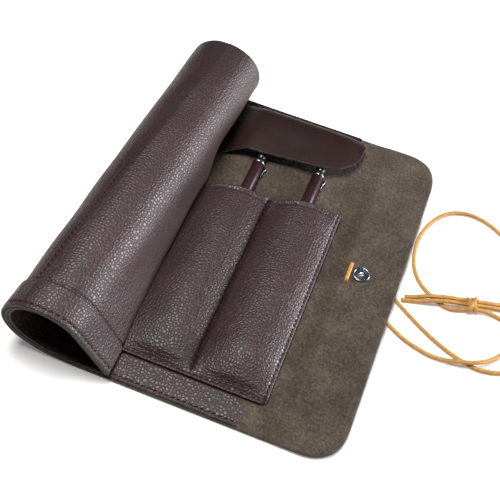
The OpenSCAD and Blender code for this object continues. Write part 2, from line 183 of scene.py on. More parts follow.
def grid_faces(rows, columns, start=0, wrap=False):
    """Quads of a grid whose points run row by row; wrap closes each row on itself."""
    i = np.arange(rows - 1)[:, None]
    j = np.arange(columns if wrap else columns - 1)[None, :]
    j1 = (j + 1) % columns
    quads = [i * columns + j, i * columns + j1, (i + 1) * columns + j1, (i + 1) * columns + j]
    return np.stack(np.broadcast_arrays(*quads), -1).reshape(-1, 4) + start


def rim_faces(rows, columns):
    """Quads that join the border of grid 0 to the border of the grid that follows it."""
    n = rows * columns
    ring = np.concatenate([
        np.arange(columns),
        np.arange(1, rows) * columns + columns - 1,
        (rows - 1) * columns + np.arange(columns - 2, -1, -1),
        np.arange(rows - 2, 0, -1) * columns,
    ])
    after = np.roll(ring, -1)
    return np.stack([after, ring, ring + n, after + n], -1)


def shell(name, face, back, materials):
    """A closed sheet between two grids of points: face, back, and the cut edge that joins their borders.

    The three materials go to those three in that order."""
    rows, columns = face.shape[:2]
    points = np.concatenate([face.reshape(-1, 3), back.reshape(-1, 3)])
    front = grid_faces(rows, columns)
    rear = grid_faces(rows, columns, rows * columns)[:, ::-1]
    rim = rim_faces(rows, columns)
    faces = np.concatenate([front, rear, rim])
    i, j = rows // 2, columns // 2
    normal = np.cross(face[i, j + 1] - face[i, j], face[i + 1, j] - face[i, j])
    if normal @ (face[i, j] - back[i, j]) < 0:
        faces = faces[:, ::-1]
    index = np.repeat([0, 1, 2], [len(front), len(rear), len(rim)])
    piece = put_mesh(name, points, faces, materials, index)
    # The borders are sharp, so that the faces' shading runs on across a seam with the next piece.
    border = np.zeros(len(points), bool)
    border[rim.ravel()] = True
    ends = np.empty(2 * len(piece.data.edges), np.int32)
    piece.data.edges.foreach_get("vertices", ends)
    ends = ends.reshape(-1, 2)
    sharp = border[ends].all(1) & ((ends < rows * columns).sum(1) != 1)
    piece.data.attributes.new("sharp_edge", "BOOLEAN", "EDGE").data.foreach_set("value", sharp)
    return piece


def spaced(start, end, step, first=True, last=True):
    """Places about step apart from start to end, closer together at an end that is a cut edge."""
    low = start + NEAR_EDGE if first else np.array([start])
    high = end - NEAR_EDGE[::-1] if last else np.array([end])
    a, b = low[-1], high[0]
    count = max(int(round((b - a) / step)), 1)
    return np.concatenate([low, np.linspace(a, b, count + 1)[1:-1], high])


def with_detail(places, centres, reach, step):
    """The places with finer ones added within reach of each centre."""
    fine = [np.arange(c - reach, c + reach + step / 2, step) for c in centres]
    every = np.sort(np.concatenate([places, *fine]))
    every = every[(every >= places[0]) & (every <= places[-1])]
    keep = np.concatenate([[True], np.diff(every) > 0.04])
    keep[-1] = True
    return every[keep]


def ease(a):
    """0 below 0, 1 above 1, and a smooth step between."""
    a = np.clip(a, 0, 1)
    return a * a * (3 - 2 * a)


def bell(distance, width):
    """1 at distance 0, falling off smoothly on both sides over about this width."""
    return np.exp(-((distance / width) ** 2))


def unit(vectors):
    return vectors / np.linalg.norm(vectors, axis=-1, keepdims=True)


def run(line):
    """Distance along a line at each of its points."""
    return np.concatenate([[0], np.cumsum(np.linalg.norm(np.diff(line, axis=0), axis=1))])


def rounding(distance, radius):
    """How far a face sinks at this distance from a cut edge, as a quarter circle of that radius."""
    d = np.clip(distance, 0, radius)
    return radius - np.sqrt(np.maximum(radius**2 - (radius - d) ** 2, 0))


def edge_sink(radius, *distances):
    """The most that any of the edges rounds the sheet off at each point."""
    return np.max(np.broadcast_arrays(*[rounding(d, radius) for d in distances]), axis=0)


def ripple(a, b, wave, seed):
    """A soft uneven field between about -1 and 1: five sines in fixed random directions."""
    random = np.random.default_rng(seed)
    total = 0
    for _ in range(5):
        turn, phase = random.uniform(0, 2 * np.pi, 2)
        length = wave * random.uniform(0.7, 1.6)
        total = total + np.sin((a * np.cos(turn) + b * np.sin(turn)) * 2 * np.pi / length + phase)
    return total / 3.2


# ---------------------------------------------------------------- the rolled end
STEP = 0.25
LONGEST = 136


def softened(curvature):
    """The curvature spread over 8 mm, as thick leather spreads it."""
    window = np.hanning(33)
    return np.convolve(np.pad(curvature, 16, mode="edge"), window / window.sum(), mode="valid")


def bends(arcs):
    """Curvature along the roll for a chain of arcs, each given by its radius and turn in degrees."""
    places = np.arange(0, LONGEST, STEP)
    curvature, start = np.zeros_like(places), 0
    for radius, turn in arcs:
        end = start + radius * math.radians(turn)
        curvature[(places >= start) & (places < end)] = 1 / radius
        start = end
    return softened(curvature)


WIDE_END = bends([(44, 39), (19, 52), (19.6, 89.5), (22.8, 61)])
NARROW_END = bends([(21.5, 285)])
TUCK = softened(np.where(np.abs(np.arange(0, LONGEST, STEP) - 111) < 5, 1 / 9.5, 0))


def roll_length(y):
    """Length of leather from the fold to the free edge, at each place along the roll."""
    return 131.7 - 9.2 * ease((y + 100) / 125) + 3 * ease((y - 30) / 60)


def rolled(u, y, depth):
    """Points of the rolled end, u along the outer face, y along the roll and depth below that face.

    The section's curvature goes from the wide lower end to the narrow upper end, with a tuck near the
    upper end, and the heading and place are its running sums."""
    share = ((y + HALF_H) / (2 * HALF_H))[None, :]
    tucked = ease((y - 30) / 50)[None, :]
    curvature = (1 - share) * WIDE_END[:, None] + share * NARROW_END[:, None] + tucked * TUCK[:, None]
    zero = np.zeros((1, len(y)))
    heading = np.concatenate([zero, np.cumsum((curvature[1:] + curvature[:-1]) / 2 * STEP, axis=0)])
    middle = (heading[1:] + heading[:-1]) / 2
    x = FOLD_X - np.concatenate([zero, np.cumsum(np.cos(middle) * STEP, axis=0)])
    z = np.concatenate([zero, np.cumsum(np.sin(middle) * STEP, axis=0)])
    u = np.broadcast_to(u if np.ndim(u) == 2 else np.asarray(u)[:, None], (np.shape(u)[0], len(y)))
    position = np.clip(u / STEP, 0, len(x) - 1.001)
    index = position.astype(int)
    part = position - index
    column = np.broadcast_to(np.arange(len(y))[None, :], index.shape)
    at = lambda table: table[index, column] * (1 - part) + table[index + 1, column] * part
    turn = at(heading)
    depth = np.broadcast_to(depth, turn.shape)
    return np.stack([at(x) + depth * np.sin(turn), np.broadcast_to(y[None, :], turn.shape),
        at(z) + depth * np.cos(turn)], -1)


# Stretches of the rolled end: where each starts, and the two bodies it bends between.
STRETCHES = [(0, "case", "fold_1"), (12.6, "fold_1", "fold_2"), (38.4, "fold_2", "fold_3"),
    (69.4, "fold_3", "fold_4"), (92, "fold_4", None)]
# Where the pocket ends inside the roll, and the sewing row beside it.
SEAM_U = 68.8
SEAM_ROW_U = SEAM_U - 2.8


def stretch_end(k):
    return STRETCHES[k + 1][0] if k + 1 < len(STRETCHES) else None


def bend_with(piece, k):
    """The piece of the last stretch is attached to that stretch's body; a piece of any other stretch only has
    its transform baked.
    """
    _, a, b = STRETCHES[k]
    if b is None:
        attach(piece, a)
        return
    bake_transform(piece)


def roll_sheet(name, k, y0, y1, depth, thick, materials, last_u=None):
    """Stretch k of a rolled sheet, depth below the outer face; last_u is its own last edge, if any."""
    y = spaced(y0, y1, 0.75 if k == 2 else 2.2)
    if depth == 0:
        y = with_detail(y, [EDGE_ROW_Y, STRIP_Y1 + 1.5], 3, 0.4)
    start = STRETCHES[k][0]
    end = stretch_end(k)
    cut = end is None or (last_u is not None and last_u <= end)
    length = roll_length(y) if last_u is None else np.full(len(y), last_u)
    finish = length if cut else np.full(len(y), end)
    share = spaced(0, 1, 0.045, False, False)
    if depth == 0 and k == 2:
        share = with_detail(share, [(SEAM_ROW_U - start) / (end - start)], 0.1, 0.016)
    u = start + (finish - start)[None, :] * share[:, None]
    if cut:
        tail = NEAR_EDGE[::-1, None]
        u = np.concatenate([start + (finish - 1.2 - start)[None, :] * share[:, None], finish[None, :] - tail])
    free = finish[None, :] - u if cut else NO_EDGE
    sink = edge_sink(0.42 * thick, y[None, :] - y0, y1 - y[None, :], free + 0 * u)
    outer_relief = roll_relief(u, y[None, :]) if depth == 0 else 0
    outer = rolled(u, y, depth + sink - outer_relief)
    inner = rolled(u, y, depth + thick - sink)
    piece = shell(name, outer, inner, materials)
    bend_with(piece, k)
    return piece


def roll_relief(u, y):
    """How far the outer face stands out over what is sewn behind it, less the dents of the sewing.

    Behind it are the strip, a step at the strip's upper edge, and the pocket up to its seam."""
    step = 0.95 * (1 - ease((y - STRIP_Y1 - 0.6) / 1.1)) - 0.5 * bell(y - STRIP_Y1 - 1.9, 0.9)
    seam = (u - SEAM_ROW_U) * np.ones_like(y)
    sewn = ease((POCKET_Y1 + 2 - y) / 4) * ease((y - POCKET_Y0 + 1) / 3)
    ridge = 0.3 * bell(seam, 3.2) * sewn
    pucker = 0.22 * np.sin(y * 2 * np.pi / sizes().stitch_pitch) * bell(seam, 1.8) * sewn
    rows = 0.5 * bell(seam, 0.8) * sewn
    edge_row = 0.3 * bell(y - EDGE_ROW_Y, 0.7)
    off_ground = ease((u - 5) / 14)
    return (step + ridge + pucker - rows - edge_row + 0.35 * ripple(u, y, 38, 5)) * off_ground


# ---------------------------------------------------------------- materials
def node(tree, kind, inputs=None, **settings):
    """Adds a shader node: settings are its attributes, inputs are values or the sockets that feed them."""
    made = tree.nodes.new(kind)
    for name, value in settings.items():
        setattr(made, name, value)
    for name, value in (inputs or {}).items():
        socket = made.inputs[name]
        if isinstance(value, bpy.types.NodeSocket):
            tree.links.new(value, socket)
        else:
            socket.default_value = value
    return made


def new_material(name, **constants):
    """A material with a Principled shader whose constant sockets are set, and its millimetre coordinates."""
    material = bpy.data.materials.new(name)
    material.use_nodes = True
    tree = material.node_tree
    shader = tree.nodes["Principled BSDF"]
    for key, value in constants.items():
        shader.inputs[key.replace("_", " ")].default_value = value
    place = node(tree, "ShaderNodeTexCoord").outputs["Object"]
    scaled = node(tree, "ShaderNodeVectorMath", {0: place, "Scale": 1 / MM}, operation="SCALE").outputs[0]
    return material, tree, shader, scaled


def ramp(tree, factor, stops):
    """A colour ramp through (place, colour) stops."""
    made = node(tree, "ShaderNodeValToRGB", {"Fac": factor})
    elements = made.color_ramp.elements
    while len(elements) < len(stops):
        elements.new(0.5)
    for element, (place, colour) in zip(elements, stops):
        element.position = place
        element.color = colour
    return made.outputs["Color"]


def to_range(tree, value, a, b, c, d, soft=False):
    """Maps a to b onto c to d."""
    return node(tree, "ShaderNodeMapRange", {"Value": value, "From Min": a, "From Max": b, "To Min": c,
        "To Max": d},
        interpolation_type="SMOOTHSTEP" if soft else "LINEAR").outputs["Result"]


def tint(colour, factor):
    """The colour made lighter or darker."""
    return (*[min(c * factor, 1) for c in colour[:3]], 1)


def pebbled_leather(name, colour, pebble, depth=0.075, gloss=0.42):
    """Drum-dyed cowhide, embossed with a pebble grain: glossy tops and dull creases, with painted shade
    darkening the creases and a painted highlight lightening the tops.
    """
    material, tree, shader, place = new_material(name, IOR=1.5, Specular_IOR_Level=0.6)
    drift = node(tree, "ShaderNodeTexNoise", {"Vector": place, "Scale": 0.45 / pebble, "Detail": 2.0})
    offset = node(tree, "ShaderNodeVectorMath", {0: drift.outputs["Color"], 1: (0.5, 0.5, 0.5)},
        operation="SUBTRACT")
    offset = node(tree, "ShaderNodeVectorMath", {0: offset.outputs[0], "Scale": 0.9 * pebble},
        operation="SCALE")
    bent = node(tree, "ShaderNodeVectorMath", {0: place, 1: offset.outputs[0]}, operation="ADD").outputs[0]
    cells = node(tree, "ShaderNodeTexVoronoi", {"Vector": bent, "Scale": 1 / pebble, "Randomness": 0.75},
        feature="DISTANCE_TO_EDGE")
    top = to_range(tree, cells.outputs["Distance"], 0.0, 0.26, 0.0, 1.0, soft=True)
    fine = node(tree, "ShaderNodeTexNoise", {"Vector": place, "Scale": 3.2, "Detail": 3.0}).outputs["Fac"]
    broad = node(tree, "ShaderNodeTexNoise", {"Vector": place, "Scale": 0.035, "Detail": 3.0}).outputs["Fac"]
    # Painted shade and highlight: the base colour runs from dark in the creases to light on the pebble tops,
    # plus broad random tone.
    shade = node(tree, "ShaderNodeMath", {0: top, 1: to_range(tree, broad, 0.3, 0.7, -0.25, 0.25)},
        operation="ADD")
    base = ramp(tree, shade.outputs[0], [(0.0, tint(colour, 0.3)), (0.5, tint(colour, 0.85)),
        (1.0, tint(colour, 1.25))])
    dome = to_range(tree, cells.outputs["Distance"], 0.0, 0.5, 0.0, 0.9)
    height = node(tree, "ShaderNodeMath", {0: top, 1: dome}, operation="ADD").outputs[0]
    height = node(tree, "ShaderNodeMath", {0: fine, 1: 0.1, 2: height}, operation="MULTIPLY_ADD").outputs[0]
    bump = node(tree, "ShaderNodeBump", {"Height": height, "Distance": depth * MM, "Strength": 1.0})
    tree.links.new(base, shader.inputs["Base Color"])
    tree.links.new(to_range(tree, top, 0, 1, gloss + 0.22, gloss), shader.inputs["Roughness"])
    tree.links.new(bump.outputs["Normal"], shader.inputs["Normal"])
    return material


def suede(name, colour):
    """The split flesh side of the hide: a matt, mottled nap of short fibres with a soft sheen."""
    material, tree, shader, place = new_material(
        name, Roughness=0.95, Specular_IOR_Level=0.15, Sheen_Weight=0.25, Sheen_Roughness=0.5)
    nap = node(tree, "ShaderNodeTexNoise", {"Vector": place, "Scale": 0.75, "Detail": 6.0, "Roughness": 0.72})
    patch = node(tree, "ShaderNodeTexNoise", {"Vector": place, "Scale": 0.06, "Detail": 4.0, "Roughness": 0.6})
    speck = node(tree, "ShaderNodeTexNoise", {"Vector": place, "Scale": 1.9, "Detail": 2.0})
    mixed = node(tree, "ShaderNodeMath", {0: patch.outputs["Fac"], 1: 0.5, 2: nap.outputs["Fac"]},
        operation="MULTIPLY_ADD")
    base = ramp(tree, mixed.outputs[0], [(0.5, tint(colour, 0.3)), (0.75, tint(colour, 0.92)),
        (0.98, tint(colour, 1.9))])
    light = to_range(tree, speck.outputs["Fac"], 0.66, 0.78, 0.0, 0.55)
    base = node(tree, "ShaderNodeMix", {0: light, 6: base, 7: tint(colour, 2.1)}, data_type="RGBA").outputs[2]
    bump = node(tree, "ShaderNodeBump", {"Height": nap.outputs["Fac"], "Distance": 0.5 * MM, "Strength": 0.9})
    tree.links.new(base, shader.inputs["Base Color"])
    tree.links.new(bump.outputs["Normal"], shader.inputs["Normal"])
    return material


def smooth_leather(name, colour, gloss=0.4):
    """Corrected-grain leather, pressed flat and finished with a satin lacquer; fine pores barely show."""
    material, tree, shader, place = new_material(name, IOR=1.5, Specular_IOR_Level=0.3)
    pores = node(tree, "ShaderNodeTexNoise", {"Vector": place, "Scale": 1.1, "Detail": 4.0})
    broad = node(tree, "ShaderNodeTexNoise", {"Vector": place, "Scale": 0.05, "Detail": 3.0})
    base = ramp(tree, broad.outputs["Fac"], [(0.3, tint(colour, 0.72)), (0.7, tint(colour, 1.15))])
    bump = node(tree, "ShaderNodeBump", {"Height": pores.outputs["Fac"], "Distance": 0.12 * MM,
        "Strength": 0.6})
    tree.links.new(base, shader.inputs["Base Color"])
    tree.links.new(to_range(tree, pores.outputs["Fac"], 0.3, 0.7, gloss, gloss + 0.2),
        shader.inputs["Roughness"])
    tree.links.new(bump.outputs["Normal"], shader.inputs["Normal"])
    return material


def fibrous(name, colour, scale, contrast=0.5, depth=0.2, rough=0.85):
    """A cut leather edge, a lace or a waxed thread: matt fibres whose colour varies along them."""
    material, tree, shader, place = new_material(name, Roughness=rough, Specular_IOR_Level=0.3)
    fibre = node(tree, "ShaderNodeTexNoise", {"Vector": place, "Scale": scale, "Detail": 5.0,
        "Roughness": 0.7})
    base = ramp(tree, fibre.outputs["Fac"], [(0.3, tint(colour, 1 - contrast)),
        (0.7, tint(colour, 1 + contrast))])
    bump = node(tree, "ShaderNodeBump", {"Height": fibre.outputs["Fac"], "Distance": depth * MM,
        "Strength": 0.8})
    tree.links.new(base, shader.inputs["Base Color"])
    tree.links.new(bump.outputs["Normal"], shader.inputs["Normal"])
    return material


def metal(name, colour, rough, scratch=0.1):
    """A turned or pressed metal part: the roughness varies with fine wear."""
    material, tree, shader, place = new_material(name, Base_Color=colour, Metallic=1.0)
    wear = node(tree, "ShaderNodeTexNoise", {"Vector": place, "Scale": 2.5, "Detail": 4.0})
    tree.links.new(to_range(tree, wear.outputs["Fac"], 0.3, 0.7, rough, rough + scratch),
        shader.inputs["Roughness"])
    return material


def lacquered_resin(name, colour, rough=0.12):
    """Turned resin under clear lacquer: deep colour, sharp reflections, faint handling marks."""
    material, tree, shader, place = new_material(name, IOR=1.5, Coat_Weight=0.15, Coat_Roughness=0.15)
    marks = node(tree, "ShaderNodeTexNoise", {"Vector": place, "Scale": 0.7, "Detail": 5.0})
    base = ramp(tree, marks.outputs["Fac"], [(0.35, tint(colour, 0.8)), (0.7, tint(colour, 1.2))])
    tree.links.new(base, shader.inputs["Base Color"])
    tree.links.new(to_range(tree, marks.outputs["Fac"], 0.3, 0.7, rough, rough + 0.12),
        shader.inputs["Roughness"])
    return material


MATERIALS = {}


def make_materials():
    c, s = colours(), sizes()
    MATERIALS.update({
        # Pebbled cowhide, dyed oxblood brown.
        "grain": pebbled_leather("pebbled_cowhide", c.grain, s.pebble),
        # The same leather skived thin for the pockets; its pebbles are the same size.
        "pocket": pebbled_leather("pebbled_pocket_leather", c.grain, s.pebble, depth=0.08, gloss=0.42),
        "suede": suede("hide_flesh_side", c.suede),
        "flap": smooth_leather("smooth_flap_leather", c.flap),
        # Cut edges are unpainted; the hide's edge is a dark grey-green.
        "hide_edge": fibrous("cut_hide_edge", hex_colour("#2b2b25"), 1.4),
        "thin_edge": fibrous("cut_thin_leather_edge", hex_colour("#5d4b4a"), 1.6),
        "flap_edge": fibrous("raw_flap_edge", hex_colour("#b8ada2"), 1.6),
        "thread": fibrous("waxed_linen_thread", hex_colour("#211414"), 3.0, rough=0.85),
        "lace": fibrous("greased_tan_lace", c.lace, 0.55, contrast=0.28, depth=0.15, rough=0.62),
        "steel": metal("nickel_plated_steel", hex_colour("#8f959b"), 0.22),
        # A darker copy of the nickel for the button's dish: painted shade.
        "dish": metal("shadowed_nickel_dish", hex_colour("#4b5157"), 0.35),
        # A near-white copy of the nickel for the tube's rolled end and the pens' top studs: painted highlight.
        "bright": metal("nickel_painted_highlight", hex_colour("#eef0f2"), 0.12),
        "chrome": metal("chromed_brass", hex_colour("#9aa09c"), 0.24),
        "gold": metal("gilt_steel_nib", hex_colour("#d9b660"), 0.18),
        "resin": lacquered_resin("lacquered_resin", c.pen, 0.3),
        "black": lacquered_resin("black_resin", hex_colour("#0f0e0f"), 0.3),
        "ink": lacquered_resin("moulded_cartridge", hex_colour("#23355f"), 0.4),
    })


def skins(front, back, edge):
    return [MATERIALS[front], MATERIALS[back], MATERIALS[edge]]


# ---------------------------------------------------------------- pieces
def lace_section(width, thick):
    """The lace's section: a flat strip with round edges, twelve points of a superellipse."""
    turn = np.arange(12) * 2 * np.pi / 12
    power = 0.62
    return np.stack([np.sign(np.cos(turn)) * np.abs(np.cos(turn)) ** power * width / 2,
        np.sign(np.sin(turn)) * np.abs(np.sin(turn)) ** power * thick / 2], -1)


def smooth_line(route, step):
    """A Catmull-Rom curve through the route's points, in points about step apart."""
    p = np.asarray(route, float)
    p = np.concatenate([2 * p[:1] - p[1:2], p, 2 * p[-1:] - p[-2:-1]])
    parts = []
    for a, b, c, d in zip(p[:-3], p[1:-2], p[2:-1], p[3:]):
        count = max(int(np.linalg.norm(c - b) / step), 2)
        t = (np.arange(count) / count)[:, None]
        parts.append(0.5 * (2 * b + (c - a) * t + (2 * a - 5 * b + 4 * c - d) * t**2 + (3 * b - a - 3 * c
            + d) * t**3))
    return np.concatenate([*parts, p[-2:-1]])


def ringed(line, section, side, rise):
    """One ring of section points round each point of a line."""
    across = section[None, :, 0, None] * side[:, None, :]
    return line[:, None, :] + across + section[None, :, 1, None] * rise[:, None, :]


def carried(line, section, up=(0, 0, 1), twist=None):
    """A section carried along a line, upright to up: a grid of rings, turned by twist where that is given."""
    along = unit(np.gradient(line, axis=0))
    side = unit(np.cross(np.broadcast_to(np.asarray(up, float), along.shape), along))
    rise = np.cross(along, side)
    if twist is not None:
        c, s = np.cos(twist)[:, None], np.sin(twist)[:, None]
        side, rise = side * c + rise * s, rise * c - side * s
    return ringed(line, section, side, rise)


def tube(name, rings, material):
    """A closed tube from a grid of rings, with a flat cap on each end."""
    rows, columns = rings.shape[:2]
    faces = grid_faces(rows, columns, wrap=True).tolist()
    faces += [list(range(columns))[::-1], [(rows - 1) * columns + i for i in range(columns)]]
    normal = np.cross(rings[0, 1] - rings[0, 0], rings[1, 0] - rings[0, 0])
    if normal @ (rings[0, 0] - rings[0].mean(0)) < 0:
        faces = [f[::-1] for f in faces]
    return put_mesh(name, rings, faces, [material])


def lathe(name, profile, place, axis, material, sides=48):
    """A turned piece: the closed profile of (radius, distance) points carried round the axis from place."""
    p = np.array(profile + profile[:1], float)
    turn = np.arange(sides) * 2 * np.pi / sides
    axis = np.asarray(axis, float)
    a = np.array([1.0, 0, 0]) if abs(axis[0]) < 0.9 else np.array([0, 1.0, 0])
    b = np.cross(axis, a)
    around = np.cos(turn)[None, :, None] * a + np.sin(turn)[None, :, None] * b
    rings = np.asarray(place) + p[:, 1][:, None, None] * axis + p[:, 0][:, None, None] * around
    piece = put_mesh(name, rings, grid_faces(len(p), sides, wrap=True), [MATERIALS[material]])
    weld(piece)
    return piece


def weld(piece):
    """Merges the doubled points of a pole or a closed ring and turns all faces outwards."""
    work = bmesh.new()
    work.from_mesh(piece.data)
    bmesh.ops.remove_doubles(work, verts=work.verts, dist=1e-6)
    bmesh.ops.dissolve_degenerate(work, edges=work.edges, dist=1e-7)
    bmesh.ops.recalc_face_normals(work, faces=work.faces)
    work.to_mesh(piece.data)
    work.free()


def stitches(name, line, normals, seed=1):
    """Small round-ended threads one pitch apart along a line, each pressed in along its normal."""
    s = sizes()
    place = run(line)
    count = int(place[-1] // s.stitch_pitch)
    centres = (np.arange(count) + 0.5) * place[-1] / count
    at = lambda values: np.stack([np.interp(centres, place, values[:, i]) for i in range(3)], -1)
    centre, up = at(line), at(normals)
    along = unit(at(np.gradient(line, place, axis=0)))
    up = unit(up - (up * along).sum(1)[:, None] * along)
    side = np.cross(up, along)
    random = np.random.default_rng(seed)
    slant = random.normal(0.16, 0.05, count)[:, None]
    along, side = along * np.cos(slant) + side * np.sin(slant), side * np.cos(slant) - along * np.sin(slant)
    # One stitch: rings of eight points whose radius follows a half circle at each end, arched in the middle.
    t = np.linspace(-1, 1, 7)
    radius = s.thread / 2 * np.sqrt(np.maximum(1 - np.abs(t) ** 4, 0.02))
    turn = np.arange(8) * np.pi / 4
    length = s.stitch_length / 2
    points = (centre[:, None, None, :]
        + (t * length)[None, :, None, None] * along[:, None, None, :]
        + (radius[:, None] * np.cos(turn)[None, :])[None, :, :, None] * side[:, None, None, :]
        + (radius[:, None] * np.sin(turn)[None, :] + (0.12 - 0.3 * t**2)[:, None])[None, :, :, None]
        * up[:, None, None, :])
    one = grid_faces(7, 8, wrap=True).tolist()
    one += [list(range(8))[::-1], list(range(48, 56))]
    faces = [[i + 56 * k for i in face] for k in range(count) for face in one]
    piece = put_mesh(name, points, faces, [MATERIALS["thread"]])
    weld(piece)
    return piece


# ---------------------------------------------------------------- operators
class PENROLL_OT_lace(bpy.types.Operator):
    """Lays the lace's two tails, the run between its slits and the knot."""

    bl_idname = "pen_roll.lace"
    bl_label = "Lace"

    def execute(self, context):
        width = sizes().lace
        section = lace_section(width, 0.8 * width)
        for name, route, seed in (("lace_tail_short", SHORT_ROUTE, 2), ("lace_tail_long", LONG_ROUTE, 3)):
            line = smooth_line(route, 1.2)
            place = run(line)
            twist = 0.3 * ripple(place, 0 * place, 60, seed)
            piece = tube(f"{name}_strap", carried(line, section, twist=twist), MATERIALS["lace"])
            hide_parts(name)
            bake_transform(piece)
        self.keeper(section)
        self.knot(section)
        return {"FINISHED"}

    def keeper(self, section):
        """Up through one slit, flat along the suede and down through the other."""
        low, high = KEEPER
        x, z = (low[0] + high[0]) / 2, high[2] - 1.4
        ya, yb = low[1] + 0.9, high[1] - 0.9
        turn = np.linspace(0, np.pi / 2, 7)
        rise = [[x, yb + 0.6, z - 3], [x, yb + 0.6, z - 1.2]]
        bend_down = [[x, yb - 0.6 + 1.2 * math.cos(t), z - 1.2 + 1.2 * math.sin(t)] for t in turn]
        bend_up = [[x, ya + 0.6 - 1.2 * math.sin(t), z - 1.2 + 1.2 * math.cos(t)] for t in turn]
        line = np.array(rise + bend_down + bend_up + [[x, ya - 0.6, z - 3]])
        rings = carried(line, section * [0.95, 0.75], up=(1, 0, 0), twist=np.full(len(line), np.pi / 2))
        piece = tube("lace_keeper_run", rings, MATERIALS["lace"])
        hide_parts("lace_keeper")
        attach(piece, "closing_end")

    def knot(self, section):
        """Two turns of lace wound round the strands, with a third that crosses them."""
        turn = math.radians(15)
        along = np.array([math.cos(turn), math.sin(turn), 0])
        side = np.array([-math.sin(turn), math.cos(turn), 0])
        centre = np.array([KNOT_C[0], KNOT_C[1], 2.75])

        def wound(turns, start, pitch, wide, high, lean, count):
            t = np.linspace(0, turns, count)
            a = 2 * np.pi * t + start
            out = pitch * (t - turns / 2) + lean * np.cos(a)
            reach = np.abs(np.cos(a)) ** 0.8 * np.sign(np.cos(a)) * wide
            lift = np.abs(np.sin(a)) ** 0.8 * np.sign(np.sin(a)) * high
            return centre + out[:, None] * along + reach[:, None] * side + lift[:, None] * np.array([0, 0, 1])

        lines = [wound(1.9, -0.5, 2.5, 3.7, 1.75, 0.1, 70), wound(0.62, -0.15, 0.3, 4.2, 2.3, 2.3, 30)]
        for number, line in enumerate(lines, 1):
            heading = unit(np.gradient(line, axis=0))
            away = line - centre
            away -= (away @ along)[:, None] * along
            flat = unit(np.cross(heading, away))
            rise = np.cross(flat, heading)
            s = section * [0.9, 0.55]
            rings = ringed(line, s, flat, rise)
            piece = tube(f"lace_knot_turn_{number}", rings, MATERIALS["lace"])
            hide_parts("lace_knot")
            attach(piece, "case")


class PENROLL_OT_hide(bpy.types.Operator):
    """Makes the hide: its flat middle, the closing end and the rolled end."""

    bl_idname = "pen_roll.hide"
    bl_label = "Hide"

    def execute(self, context):
        self.middle()
        self.closing()
        for k in range(len(STRETCHES)):
            piece = roll_sheet(f"hide_roll_{k + 1}", k, -HALF_H, HALF_H, 0, HIDE_T, skins("grain", "suede",
                "hide_edge"))
            if k:
                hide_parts(f"hide_fold_{k}")
        return {"FINISHED"}

    def middle(self):
        y = spaced(-HALF_H, HALF_H, 2.5)
        x = np.linspace(FOLD_X, CLOSING_X, 60)
        sink = edge_sink(0.9, HALF_H - np.abs(y))[None, :] + 0 * x[:, None]
        grid = lambda z: np.stack(np.broadcast_arrays(x[:, None], y[None, :], z), -1)
        piece = shell("hide_middle", grid(HIDE_T - sink), grid(0.02 + sink), skins("suede", "grain",
            "hide_edge"))
        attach(piece, "case")
        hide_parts("hide_base")

    def closing(self):
        """x runs to the closing edge; each column's y reach follows a superellipse at the corners.

        The sheet rises over the button's head and the lace, and sinks back towards its corners."""
        corner, power = 24, 2.9
        straight = spaced(CLOSING_X, RIGHT_X - corner, 1.5, False, False)
        bend = RIGHT_X - corner + corner * np.sin(np.linspace(0, np.pi / 2, 40)[1:])
        x = np.concatenate([straight, bend])
        share = np.clip((x - RIGHT_X + corner) / corner, 0, 1)
        reach = HALF_H - corner + corner * (1 - share**power) ** (1 / power)
        middle = np.linspace(-1, 1, 90)[1:-1]
        y = np.array([np.concatenate([-r + NEAR_EDGE, middle * (r - 1), r - NEAR_EDGE[::-1]]) for r in reach])
        x = np.broadcast_to(x[:, None], y.shape)
        edge_x = RIGHT_X - x
        over = np.clip((np.abs(y) - HALF_H + corner) / corner, 0, 1)
        edge_x = edge_x - corner * (1 - (1 - over**power) ** (1 / power))
        sink = edge_sink(0.9, reach[:, None] - np.abs(y), edge_x)
        lift = LIFT * ease((x - CLOSING_X - 1) / 10) * (1 - 0.75 * ease((np.abs(y + 3) - 28) / 50))
        wave = 0.35 * ripple(x, y, 55, 11) * ease((x - CLOSING_X - 2) / 12)
        lift = np.maximum(lift + wave * (1 - ease((30 - np.abs(y)) / 8)), 0.02)
        top = np.stack([x, y, lift + HIDE_T - sink], -1)
        bottom = np.stack([x, y, lift + sink], -1)
        piece = shell("hide_closing", top, bottom, skins("suede", "grain", "hide_edge"))
        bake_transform(piece)
        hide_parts("hide_closing_end")


